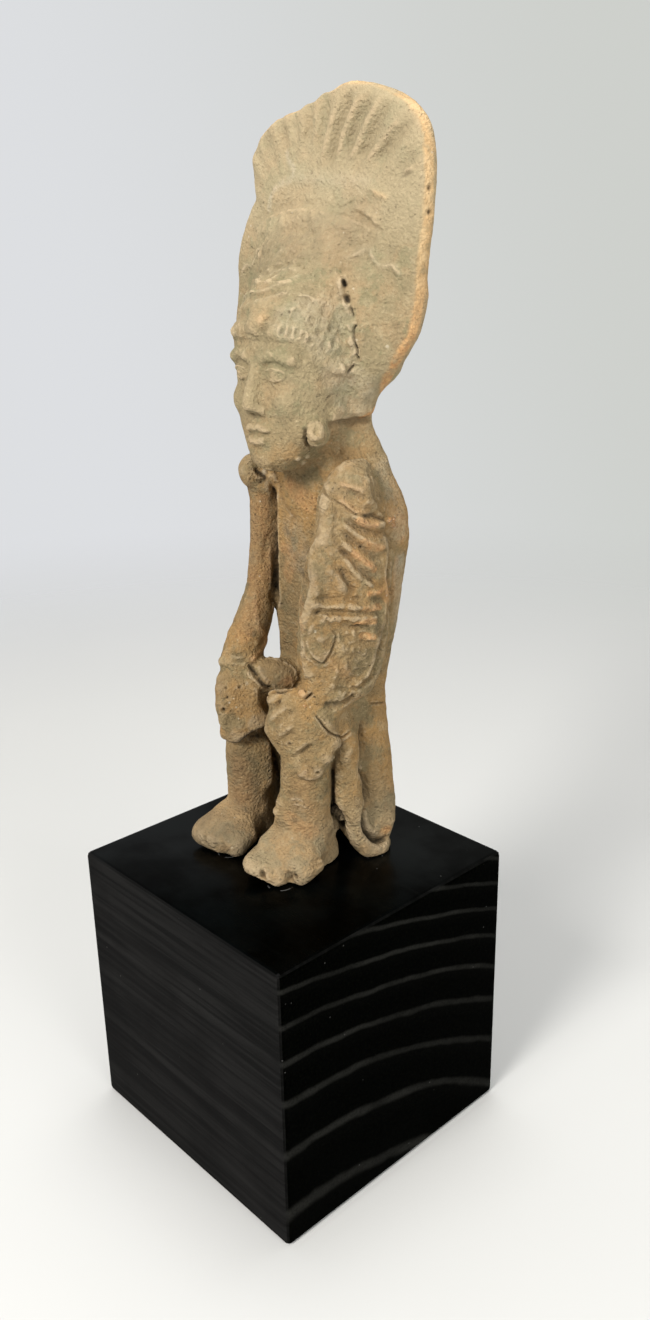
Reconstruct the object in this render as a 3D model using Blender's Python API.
"""Seated terracotta figure with a tall fan headdress, standing on a square wood plinth.

Metres, +Z up. The plinth stands centred on the origin and the figure faces -Y, so that
its own left is +X. The figure is laid out in figure units, 180 of them to its height,
from the middle of its base, so it keeps its shape at any height. Its face is a plain
one, of ideal proportions.
"""

import math

import bmesh
import bpy
from mathutils import Matrix, Vector

# Sizes that can be set, in metres
FIGURE_HEIGHT = 0.179
FIGURE_SHIFT = -0.004  # the figure's middle from the plinth's, towards its right
PLINTH_SIDE = 0.076
PLINTH_HEIGHT = 0.076
PLINTH_EDGE = 0.0012
GLUE_GAP = 0.0003

# The figure's mesh
UNITS = 180
VOXEL = 0.8  # figure units
TRIANGLES = 9300

# The headdress, in figure units
SLAB_FRONT = 17.0
SLAB_THICK = 4.6
SLAB_SWELL = 1.2
FAN_X = -3.0
FAN_Z = 143.0
FLUTE_STEP = math.radians(9.3)
FLUTE_DEEP = 1.0
FLUTE_FROM = 19.0
FLUTE_TO = 37.0
MOUND_Z = 130.0
MOUND_WIDE = 27.0
MOUND_TALL = 30.0
MOUND_DEEP = 6.2

# The head: chin to crown is the module of the face
CHIN_Z = 99.4
HEAD_TALL = 42.0
HEAD_WIDE = 28.0
FACE_Y = -2.0
BAND_Z = 125.0
BAND_ROWS = ((0.0, 1.6, 0.3), (4.2, 1.7, 0.2), (8.4, 1.7, -0.2), (12.6, 1.4, -1.4))
HOOD_Z = 152.0

# The body
BODY_TURN = math.radians(8)
HAND_TURN = math.radians(47)
LEFT_TOES = math.radians(20)
RIGHT_TOES = math.radians(13)

# The plate over the left arm: rows of (x, y, z, half thickness, half width)
PLATE_TURN = math.radians(-20)
PLATE_POWER = 2.4
PLATE = [
    (17.2, 10.0, 101.5, 2.6, 2.6),
    (17.6, 10.0, 99.5, 4.0, 4.5),
    (17.9, 9.3, 94.5, 5.0, 6.8),
    (18.1, 9.8, 87.0, 5.2, 8.2),
    (18.1, 8.4, 78.0, 5.2, 10.6),
    (17.9, 7.3, 71.0, 5.2, 11.4),
    (17.6, 6.0, 59.0, 5.0, 11.4),
    (17.2, 5.0, 51.5, 4.8, 10.4),
    (16.6, 3.2, 47.0, 4.4, 7.8),
    (16.2, 3.0, 43.5, 3.6, 5.0),
]


def smooth_step(low, high, value):
    """Rises smoothly from 0 at low to 1 at high."""
    t = min(1.0, max(0.0, (value - low) / (high - low)))
    return t * t * (3 - 2 * t)


def curve(stations, steps=6, closed=False):
    """The stations with more between them, each number on a smooth curve."""
    count = len(stations)
    found = []
    for i in range(count if closed else count - 1):
        if closed:
            a, b, c, d = (stations[(i + k) % count] for k in (-1, 0, 1, 2))
        else:
            a, b, c, d = (stations[min(count - 1, max(0, i + k))] for k in (-1, 0, 1, 2))
        for step in range(steps):
            t = step / steps
            found.append(tuple(
                q + 0.5 * t * (r - p + t * (2 * p - 5 * q + 4 * r - s + t * (3 * (q - r) + s - p)))
                for p, q, r, s in zip(a, b, c, d)
            ))
    if not closed:
        found.append(tuple(stations[-1]))
    return found


def ring(centre, side, out, wide, deep, power, count=28):
    """A rounded outline about a centre, from an ellipse at power 2 towards a box."""
    points = []
    for i in range(count):
        angle = 2 * math.pi * i / count
        c, s = math.cos(angle), math.sin(angle)
        u = math.copysign(abs(c) ** (2 / power), c) * wide
        v = math.copysign(abs(s) ** (2 / power), s) * deep
        points.append(centre + side * u + out * v)
    return points


def loft(bm, rings):
    """Skins a row of rings and closes both ends."""
    rows = [[bm.verts.new(point) for point in points] for points in rings]
    faces = [bm.faces.new(rows[0][::-1]), bm.faces.new(rows[-1])]
    for low, high in zip(rows, rows[1:]):
        count = len(low)
        for i in range(count):
            k = (i + 1) % count
            faces.append(bm.faces.new((low[i], low[k], high[k], high[i])))
    bmesh.ops.recalc_face_normals(bm, faces=faces)


def stack(bm, stations, power=2.4, turn=0.0):
    """A body of level sections, each (z, x, y, half width, half depth), turned a little."""
    side = Vector((math.cos(turn), math.sin(turn), 0))
    out = Vector((-math.sin(turn), math.cos(turn), 0))
    rings = []
    for z, x, y, wide, deep in curve(stations):
        rings.append(ring(Vector((x, y, z)), side, out, wide, deep, power))
    loft(bm, rings)


def limb(bm, stations, power=2.0, turn=0.0):
    """A body along a path of (x, y, z, half width, half depth), its width kept level."""
    path = curve(stations)
    points = [Vector(station[:3]) for station in path]
    rings = []
    for i, station in enumerate(path):
        along = (points[min(i + 1, len(points) - 1)] - points[max(i - 1, 0)]).normalized()
        side = Vector((0, 0, 1)).cross(along)
        if side.length < 0.35:
            side = Vector((math.cos(turn), math.sin(turn), 0))
            side -= along * along.dot(side)
        if side.x < 0:
            side = -side
        side.normalize()
        out = along.cross(side)
        ease = 0.35 if i in (0, len(path) - 1) else 1.0
        rings.append(ring(points[i], side, out, station[3] * ease, station[4] * ease, power))
    loft(bm, rings)


def cord(bm, points, radius):
    """A round cord through the points."""
    limb(bm, [(*point, radius, radius) for point in points])


def blob(bm, centre, radii, turn=0.0):
    """An egg of three half lengths, turned about the vertical."""
    matrix = Matrix.Translation(centre) @ Matrix.Rotation(turn, 4, "Z") @ Matrix.Diagonal((*radii, 1))
    bmesh.ops.create_uvsphere(bm, u_segments=28, v_segments=16, radius=1, matrix=matrix)


def add_headdress(bm):
    """A thin upright slab with a scalloped top, fluted like a fan on its front."""
    outline = [
        (0, 104.5), (6, 105.5), (11.5, 108), (14.7, 112.4), (18.6, 118), (24, 124), (28, 130.5),
        (30.2, 140), (31, 147), (31.8, 155), (32.2, 161), (31.9, 165.8), (30.6, 170.0), (28, 173.0),
        (22.6, 176.3), (16.3, 178.4), (10.5, 179.7), (6, 179.1), (2.5, 177.5), (-1, 175.9), (-6, 175),
        (-12, 174.1), (-16.8, 172.2), (-20.5, 169.4), (-22.9, 166), (-23.8, 163), (-22.6, 160.4),
        (-23, 157.5), (-25.4, 154), (-27.3, 149.5), (-29, 143.5), (-30, 137), (-31.5, 131), (-31, 125),
        (-26, 119), (-20, 114), (-14, 109), (-7, 105.5),
    ]
    outline = curve(outline, 4, closed=True)
    middle = (0.0, 142.0)
    shares = (1.0, 0.985, 0.955, 0.91, 0.86, 0.8, 0.74, 0.68, 0.6, 0.5, 0.38, 0.25, 0.1)
    rings = []
    for face, order in ((1, shares[::-1]), (-1, shares)):
        for share in order:
            points = []
            for x, z in outline:
                x = middle[0] + (x - middle[0]) * share
                z = middle[1] + (z - middle[1]) * share
                swell = SLAB_SWELL * (1 - share ** 3)
                round_off = 0.9 * smooth_step(0.955, 1.0, share)
                y = SLAB_FRONT + SLAB_THICK / 2 + face * (SLAB_THICK / 2 + swell - round_off)
                if face < 0:
                    y += flute(x, z) - mound(x, z)
                points.append(Vector((x, y, z)))
            rings.append(points)
    loft(bm, rings)
    # A soft roll below the flutes, and three worn ridges beside it
    cord(bm, [(-12, 18.4, 158), (-4, 18.2, 160), (7, 18.2, 160.4), (18, 18.4, 158.6)], 1.9)
    cord(bm, [(16.5, 17.2, 157.6), (20, 16.8, 156.6), (23, 17.2, 155.2)], 0.9)
    cord(bm, [(11.5, 17.0, 154.2), (15.5, 16.6, 152), (20, 17.0, 149.2)], 1.1)
    cord(bm, [(16, 17.0, 145), (20, 16.8, 142.7), (24, 16.8, 142), (27.2, 17.1, 139.6)], 0.9)


def mound(x, z):
    """How far the slab's front swells forward round the head."""
    away = math.hypot(x / MOUND_WIDE, (z - MOUND_Z) / MOUND_TALL)
    return MOUND_DEEP * (1 - smooth_step(0.45, 1.0, away))


def flute(x, z):
    """How deep the fan's grooves cut at a place on the slab's front."""
    away = math.hypot(x - FAN_X, z - FAN_Z)
    angle = math.atan2(x - FAN_X, z - FAN_Z)
    reach = smooth_step(FLUTE_FROM, FLUTE_FROM + 5, away) * (1 - smooth_step(FLUTE_TO - 3, FLUTE_TO, away))
    fan = 1 - smooth_step(math.radians(52), math.radians(66), abs(angle))
    wave = 0.5 - 0.5 * math.cos(2 * math.pi * (angle - math.radians(7)) / FLUTE_STEP)
    return FLUTE_DEEP * reach * fan * wave ** 0.8


def add_head(bm):
    """The face on ideal proportions, the wrapped band over it and the hood above."""
    low = CHIN_Z
    tall = HEAD_TALL
    half = HEAD_WIDE / 2
    stack(bm, [
        (low - 1.5, 0, 5.5, 3.5, 4.5),
        (low + 1.0, 0, 6.0, 6.5, 8.0),
        (low + 5.0, 0, 7.5, 10.0, 9.7),
        (low + 10.0, 0, 9.0, half - 1.4, 11.2),
        (low + 16.0, 0, 10.5, half - 0.4, 12.7),
        (low + 22.0, 0, 11.0, half, 13.2),
        (low + 28.0, 0, 11.5, half + 0.2, 13.4),
        (low + 34.0, 0, 12.0, half + 0.4, 12.6),
    ], power=2.8)
    stack(bm, [
        (HOOD_Z - 24, 0, 12.5, half - 1.0, 11.4),
        (HOOD_Z - 18, 0, 13.2, half + 0.2, 12.2),
        (HOOD_Z - 12, 0, 15.0, half + 1.6, 10.6),
        (HOOD_Z - 6, 0, 17.0, half + 2.6, 8.2),
        (HOOD_Z, 0, 18.4, half + 2.6, 5.6),
        (HOOD_Z + 4, 0, 19.6, half + 1.6, 3.4),
        (HOOD_Z + 6, 0, 20.2, half - 2.0, 2.0),
    ], power=2.1)
    eye = low + tall / 2
    nose = low + tall * 2 / 7
    mouth = low + tall * 4 / 21
    gap = HEAD_WIDE / 5
    # Brow, nose, lips, chin
    for side in (-1, 1):
        cord(bm, [
            (side * 1.0, FACE_Y - 0.3, eye + 3.2),
            (side * gap, FACE_Y - 0.1, eye + 4.2),
            (side * gap * 2, FACE_Y + 2.2, eye + 2.8),
        ], 1.5)
        blob(bm, (side * gap, FACE_Y + 1.2, eye), (2.7, 2.0, 1.7))
        blob(bm, (side * 2.3, FACE_Y - 0.8, nose + 1.3), (1.7, 1.7, 1.4))
        blob(bm, (side * 6.6, FACE_Y + 2.1, eye - 6.2), (4.0, 3.0, 4.4))
    limb(bm, [
        (0, FACE_Y + 0.2, eye + 3.5, 1.5, 1.6),
        (0, FACE_Y - 1.0, eye - 1.0, 1.7, 2.0),
        (0, FACE_Y - 2.2, eye - 5.5, 2.0, 2.4),
        (0, FACE_Y - 2.2, nose + 0.8, 2.2, 2.2),
    ])
    for lift, wide, deep in ((1.1, 3.9, 1.3), (-1.2, 3.4, 1.5)):
        blob(bm, (0, FACE_Y - 0.4, mouth + lift), (wide, 1.6, deep))
    blob(bm, (0, FACE_Y + 1.6, low + 2.6), (4.4, 3.0, 3.4))
    # The wrapped band, lower at the ears, with a round boss over the brow
    for lift, radius, out in BAND_ROWS:
        path = []
        for i in range(9):
            angle = math.pi * (i / 8 - 0.5) * 1.04
            wide = half + out
            path.append((
                wide * math.sin(angle),
                13.0 - (13.9 + out - max(0, lift - 8) * 0.34) * math.cos(angle),
                BAND_Z + lift + 1.2 * math.cos(angle) - 4.6 * math.sin(angle) ** 4 * (lift < 8),
            ))
        cord(bm, path, radius)
    blob(bm, (0, -2.4, BAND_Z + 6.2), (2.4, 1.8, 2.4))
    # Ear spools
    for side, y in ((1, 3.4), (-1, 6.0)):
        blob(bm, (side * (half - 1.6), y + 1.2, low + 8.2), (2.2, 3.4, 3.4))
        blob(bm, (side * (half - 0.6), y, low + 8.0), (1.6, 2.1, 2.3), side * math.radians(25))


def add_torso(bm):
    """Neck, shoulders, and a thick slab of a body that reaches down to the ground."""
    stack(bm, [
        (114, 2.0, 16.0, 8.0, 5.0),
        (108, 2.8, 17.2, 9.8, 6.2),
        (102, 3.0, 17.6, 11.8, 7.4),
        (96, 3.4, 18.0, 15.4, 8.2),
        (89, 4.0, 18.2, 18.6, 8.6),
        (82, 4.2, 18.3, 19.0, 8.6),
        (74, 4.0, 18.2, 18.0, 8.4),
        (60, 3.4, 18.2, 16.8, 8.0),
        (47, 2.4, 17.8, 14.6, 7.6),
        (39, 3.8, 18.2, 12.0, 7.4),
        (26, 3.6, 18.2, 12.2, 7.2),
        (14, 3.0, 18.4, 13.2, 7.0),
        (6, 3.0, 18.4, 13.0, 6.4),
        (3, 3.0, 18.4, 11.6, 5.2),
        (1.5, 3.0, 18.4, 8.0, 3.0),
    ], power=2.6, turn=BODY_TURN)
    # The hip's rounded ends, either side, and the hollow of each knee filled
    for x in (16.2, -9.8):
        inward = -math.copysign(1, x - 3)
        limb(bm, [
            (x + 4.5 * inward, 17.0, 54, 3.0, 4.0),
            (x + 2.0 * inward, 17.6, 40, 3.8, 5.0),
            (x + 0.8 * inward, 18.0, 28, 4.0, 5.2),
            (x, 18.6, 14, 4.2, 5.2),
            (x, 18.9, 7, 4.2, 4.8),
            (x, 19.0, 3.6, 3.6, 3.6),
        ])
        limb(bm, [
            (x + 3.4 * inward, 11.0, 48, 3.6, 5.0),
            (x + 3.0 * inward, 12.6, 34, 4.4, 5.4),
            (x + 3.0 * inward, 13.6, 18, 4.6, 5.2),
            (x + 3.0 * inward, 14.6, 5, 4.2, 4.6),
        ])
    # The right shoulder's knob
    blob(bm, (-13.8, 6.2, 95.8), (3.1, 3.4, 4.3))
    blob(bm, (-12.0, 10.5, 93.5), (5.0, 5.0, 5.0))


def add_right_arm(bm):
    """A plain roll of clay from the shoulder to the knee, clear of the body."""
    limb(bm, [
        (-13.6, 9.2, 94, 3.4, 3.4),
        (-14.0, 9.4, 87, 3.1, 3.2),
        (-14.3, 9.3, 77, 3.3, 3.4),
        (-14.2, 8.4, 67, 3.9, 4.2),
        (-13.5, 5.6, 60, 4.6, 4.8),
        (-13.1, 1.9, 53.5, 5.1, 5.0),
        (-12.4, -1.8, 46, 5.4, 5.2),
    ])
    # The hand, cupped over the knee
    blob(bm, (-11.2, -3.0, 38.0), (6.2, 5.8, 9.8), HAND_TURN)
    for i in range(3):
        across = -4.4 + 3.7 * i
        x = -7.6 + across * math.cos(HAND_TURN)
        y = -5.9 + across * math.sin(HAND_TURN)
        low = (32.6, 30.6, 32.4)[i]
        cord(bm, [(x - 1.2, y + 1.6, 44.5), (x, y + 0.7, 38), (x - 0.2, y + 1.2, low)], 2.0)
    cord(bm, [(-9.5, -1.2, 47), (-6.4, -1.4, 45), (-3.6, -2.0, 42.5)], 1.9)


def plate_point(across, z, lift):
    """A place on the left arm's plate: across it from the front, at a height, lifted off it."""
    levels = [station for station in curve(PLATE) if station[2] <= z]
    x, y, _, thick, wide = levels[0] if levels else PLATE[-1]
    share = min(0.98, abs(across) / wide)
    off = thick * (1 - share ** PLATE_POWER) ** (1 / PLATE_POWER) + lift
    c, s = math.cos(PLATE_TURN), math.sin(PLATE_TURN)
    return (x + off * c - across * s, y + off * s + across * c, z)


def raise_on_plate(bm, places, radius):
    """A cord half sunk in the plate, through (across, z) places."""
    cord(bm, [plate_point(across, z, 0.1 - 0.25 * radius) for across, z in places], radius)


def add_left_arm(bm):
    """A broad moulded plate over the arm, with feathers, a cross band and a ring."""
    limb(bm, PLATE, PLATE_POWER, PLATE_TURN)
    limb(bm, [
        (16.0, 4.6, 51, 4.4, 6.6),
        (15.4, 2.4, 45, 4.6, 6.4),
        (14.2, -0.6, 41, 4.8, 6.0),
        (12.4, -3.0, 38.5, 4.6, 5.0),
    ])
    # The pointed oval at the shoulder
    raise_on_plate(bm, [(0.4, 99.4), (0.6, 96), (0.2, 91.5)], 2.9)
    # Feathers, sweeping back and down
    for i in range(5):
        z = 89.0 - 4.6 * i
        raise_on_plate(bm, [(-2.6, z), (1.6, z - 2.6 - 0.3 * i), (5.8, z - 5.6 - 0.8 * i)], 1.5)
    # The raised border along the front, a leaf, the cross band and the worn bars
    raise_on_plate(bm, [(-6.0, 91), (-6.6, 85), (-8.4, 78), (-9.6, 71), (-9.8, 64)], 1.4)
    raise_on_plate(bm, [(-4.4, 76.5), (-4.6, 73), (-3.0, 70.5)], 1.6)
    raise_on_plate(bm, [(-8.6, 67.0), (-3, 67.4), (3, 67), (8.8, 66.6)], 1.3)
    for i in range(2):
        raise_on_plate(bm, [(3.4, 63.4 - 3.4 * i), (6.4, 63.4 - 3.5 * i), (9.4, 63.2 - 3.8 * i)], 1.2)
    # A six sided ring with a drop in it
    loop = []
    for i in range(9):
        angle = 2 * math.pi * i / 8
        loop.append((-5.0 + 3.7 * math.cos(angle), 57.4 + 5.2 * math.sin(angle)))
    raise_on_plate(bm, loop, 1.1)
    raise_on_plate(bm, [(-5.2, 59), (-5.0, 55.6)], 1.4)
    # The hand, spread over the knee, its fingers one above another
    blob(bm, (12.4, -2.9, 39.6), (8.8, 5.8, 8.2), HAND_TURN)
    for points, radius in (
        ([(15.4, -0.8, 46.0), (11.8, -5.4, 46.2), (5.2, -6.6, 44.6)], 2.5),
        ([(16.6, 1.4, 42), (13.4, -5.3, 41.2), (5.8, -6.9, 38.8)], 2.5),
        ([(17.3, 2.8, 38), (15.2, -4.2, 36.0), (9.2, -6.2, 32.2)], 2.5),
        ([(17.3, 2.8, 34.7), (16.4, -2.0, 31.2), (13.0, -4.2, 26.0)], 2.5),
    ):
        cord(bm, points, radius)


def add_leg(bm, knee, ankle, radius, heel, toes, wide, turn):
    """A shin and a broad foot: its heel and toes, its half width, and how its row of toes turns."""
    limb(bm, [
        (knee[0], knee[1] + 1.0, knee[2], radius * 0.92, radius * 0.92),
        (knee[0], knee[1] + 0.4, knee[2] - 8, radius, radius),
        ((knee[0] + ankle[0]) / 2, (knee[1] + ankle[1]) / 2, 24, radius * 1.02, radius * 1.02),
        (ankle[0], ankle[1], 14, radius, radius * 1.02),
        (ankle[0], ankle[1] + 0.6, 7, radius * 1.08, radius * 1.2),
        (ankle[0], ankle[1] + 1.2, -2, radius * 1.12, radius * 1.3),
    ])
    heel = Vector((*heel, 0))
    toes = Vector((*toes, 0))
    run = toes - heel
    limb(bm, [
        (*(heel + run * 0.02)[:2], 2.6, wide * 0.58, 3.8),
        (*(heel + run * 0.25)[:2], 4.6, wide * 0.74, 6.0),
        (*(heel + run * 0.50)[:2], 4.6, wide * 0.92, 6.0),
        (*(heel + run * 0.70)[:2], 3.4, wide * 1.02, 4.8),
        (*(heel + run * 0.84)[:2], 2.6, wide * 0.98, 3.8),
    ], power=2.3)
    across = Vector((math.cos(turn), math.sin(turn), 0))
    for i in range(5):
        share = (i - 2) / 2
        size = 2.8 if share * knee[0] < -1 else 2.4
        tip = toes - run.normalized() * (size + 0.8 * share * share) + across * share * wide * 0.84
        back = tip - run.normalized() * 6
        cord(bm, [(*back[:2], 3.8), (*((tip * 2 + back) / 3)[:2], 3.2), (*tip[:2], 2.1)], size)


def add_legs(bm):
    add_leg(bm, (11.4, -1.4, 46), (11.2, -0.8), 5.9, (10.4, 6.0), (12.2, -14.6), 8.3, LEFT_TOES)
    add_leg(bm, (-11.6, -1.4, 46), (-12.0, -0.8), 5.3, (-12.4, 6.0), (-10.4, -16.2), 7.2, RIGHT_TOES)
    # The left thigh: from behind the knee down to the ground, curling under the hip
    limb(bm, [
        (12.5, 1.0, 44, 5.0, 4.6),
        (14.6, 6.6, 36, 4.6, 4.0),
        (15.4, 8.4, 27, 4.4, 3.7),
        (15.8, 8.6, 18, 4.4, 3.7),
        (16.4, 10.2, 9.5, 4.4, 3.7),
        (17.0, 13.4, 3.6, 4.2, 3.7),
        (17.4, 17.4, 0.8, 4.0, 3.4),
        (17.4, 21.0, 0.4, 2.6, 2.4),
    ])
    # The right thigh: level to the body, and the same curl
    limb(bm, [
        (-11.5, -2.0, 41.5, 5.0, 5.0),
        (-7.4, 3.2, 44.0, 4.8, 4.8),
        (-4.6, 8.6, 43.6, 4.4, 4.6),
        (-2.0, 13.0, 41.0, 4.4, 4.6),
    ])
    limb(bm, [
        (-10.6, 2.0, 41, 4.6, 4.6),
        (-9.6, 8.2, 27, 4.4, 4.0),
        (-9.8, 8.8, 18, 4.4, 3.8),
        (-10.2, 10.2, 9.5, 4.4, 3.8),
        (-10.6, 13.4, 3.6, 4.2, 3.7),
        (-10.8, 17.4, 0.8, 4.0, 3.4),
        (-10.8, 21.0, 0.4, 2.6, 2.4),
    ])


def figure_mesh():
    """All the rolls and slabs of clay pressed into one skin, with its soles cut flat."""
    bm = bmesh.new()
    for add in (add_headdress, add_head, add_torso, add_right_arm, add_left_arm, add_legs):
        add(bm)
    rough = bpy.data.meshes.new("rough_figure")
    bm.to_mesh(rough)
    bm.free()
    maker = bpy.data.objects.new("rough_figure", rough)
    bpy.context.scene.collection.objects.link(maker)
    remesh = maker.modifiers.new("Skin", "REMESH")
    remesh.mode = "VOXEL"
    remesh.voxel_size = VOXEL
    soften = maker.modifiers.new("Soften", "SMOOTH")
    soften.factor = 0.5
    soften.iterations = 3
    thin = maker.modifiers.new("Thin", "DECIMATE")
    thin.use_collapse_triangulate = True
    thin.show_viewport = thin.show_render = False
    graph = bpy.context.evaluated_depsgraph_get()
    full = len(maker.evaluated_get(graph).to_mesh().polygons) * 2
    thin.ratio = TRIANGLES / full
    thin.show_viewport = thin.show_render = True
    graph = bpy.context.evaluated_depsgraph_get()
    mesh = bpy.data.meshes.new_from_object(maker.evaluated_get(graph))
    bpy.data.objects.remove(maker)
    mesh.name = "terracotta_figure"
    bm = bmesh.new()
    bm.from_mesh(mesh)
    cut = bmesh.ops.bisect_plane(
        bm, geom=bm.verts[:] + bm.edges[:] + bm.faces[:], dist=0.0001,
        plane_co=(0, 0, 0), plane_no=(0, 0, -1), clear_outer=True,
    )
    edges = [item for item in cut["geom_cut"] if isinstance(item, bmesh.types.BMEdge)]
    bmesh.ops.triangle_fill(bm, edges=edges, use_beauty=True, normal=(0, 0, -1))
    bmesh.ops.recalc_face_normals(bm, faces=bm.faces[:])
    bmesh.ops.scale(bm, vec=Vector((1, 1, 1)) * FIGURE_HEIGHT / UNITS, verts=bm.verts[:])
    bm.to_mesh(mesh)
    bm.free()
    return mesh


def plinth_mesh():
    """A cube with its edges just broken."""
    bm = bmesh.new()
    matrix = Matrix.Translation((0, 0, PLINTH_HEIGHT / 2)) @ Matrix.Diagonal(
        (PLINTH_SIDE, PLINTH_SIDE, PLINTH_HEIGHT, 1)
    )
    bmesh.ops.create_cube(bm, size=1, matrix=matrix)
    bmesh.ops.bevel(bm, geom=bm.edges[:], offset=PLINTH_EDGE, segments=3, profile=0.5, affect="EDGES")
    mesh = bpy.data.meshes.new("wood_plinth")
    bm.to_mesh(mesh)
    bm.free()
    return mesh


def material(name, colour, roughness):
    """A plain material that isn't a metal."""
    made = bpy.data.materials.new(name)
    made.use_nodes = True
    shader = made.node_tree.nodes["Principled BSDF"]
    shader.inputs["Base Color"].default_value = (*colour, 1)
    shader.inputs["Roughness"].default_value = roughness
    shader.inputs["Metallic"].default_value = 0
    return made


def place(name, mesh, look, location):
    """Puts the mesh in the scene as one piece, in its one material."""
    obj = bpy.data.objects.new(name, mesh)
    obj.location = location
    mesh.materials.clear()
    mesh.materials.append(look)
    bpy.context.scene.collection.objects.link(obj)
    return obj


def clear_scene():
    """Empties the scene."""
    for obj in list(bpy.data.objects):
        bpy.data.objects.remove(obj)


clear_scene()
clay = material("terracotta", (0.34, 0.26, 0.18), 0.9)
stain = material("black_stained_wood", (0.012, 0.012, 0.012), 0.45)
place("wood_plinth", plinth_mesh(), stain, (0, 0, 0))
place("terracotta_figure", figure_mesh(), clay, (FIGURE_SHIFT, 0, PLINTH_HEIGHT + GLUE_GAP))
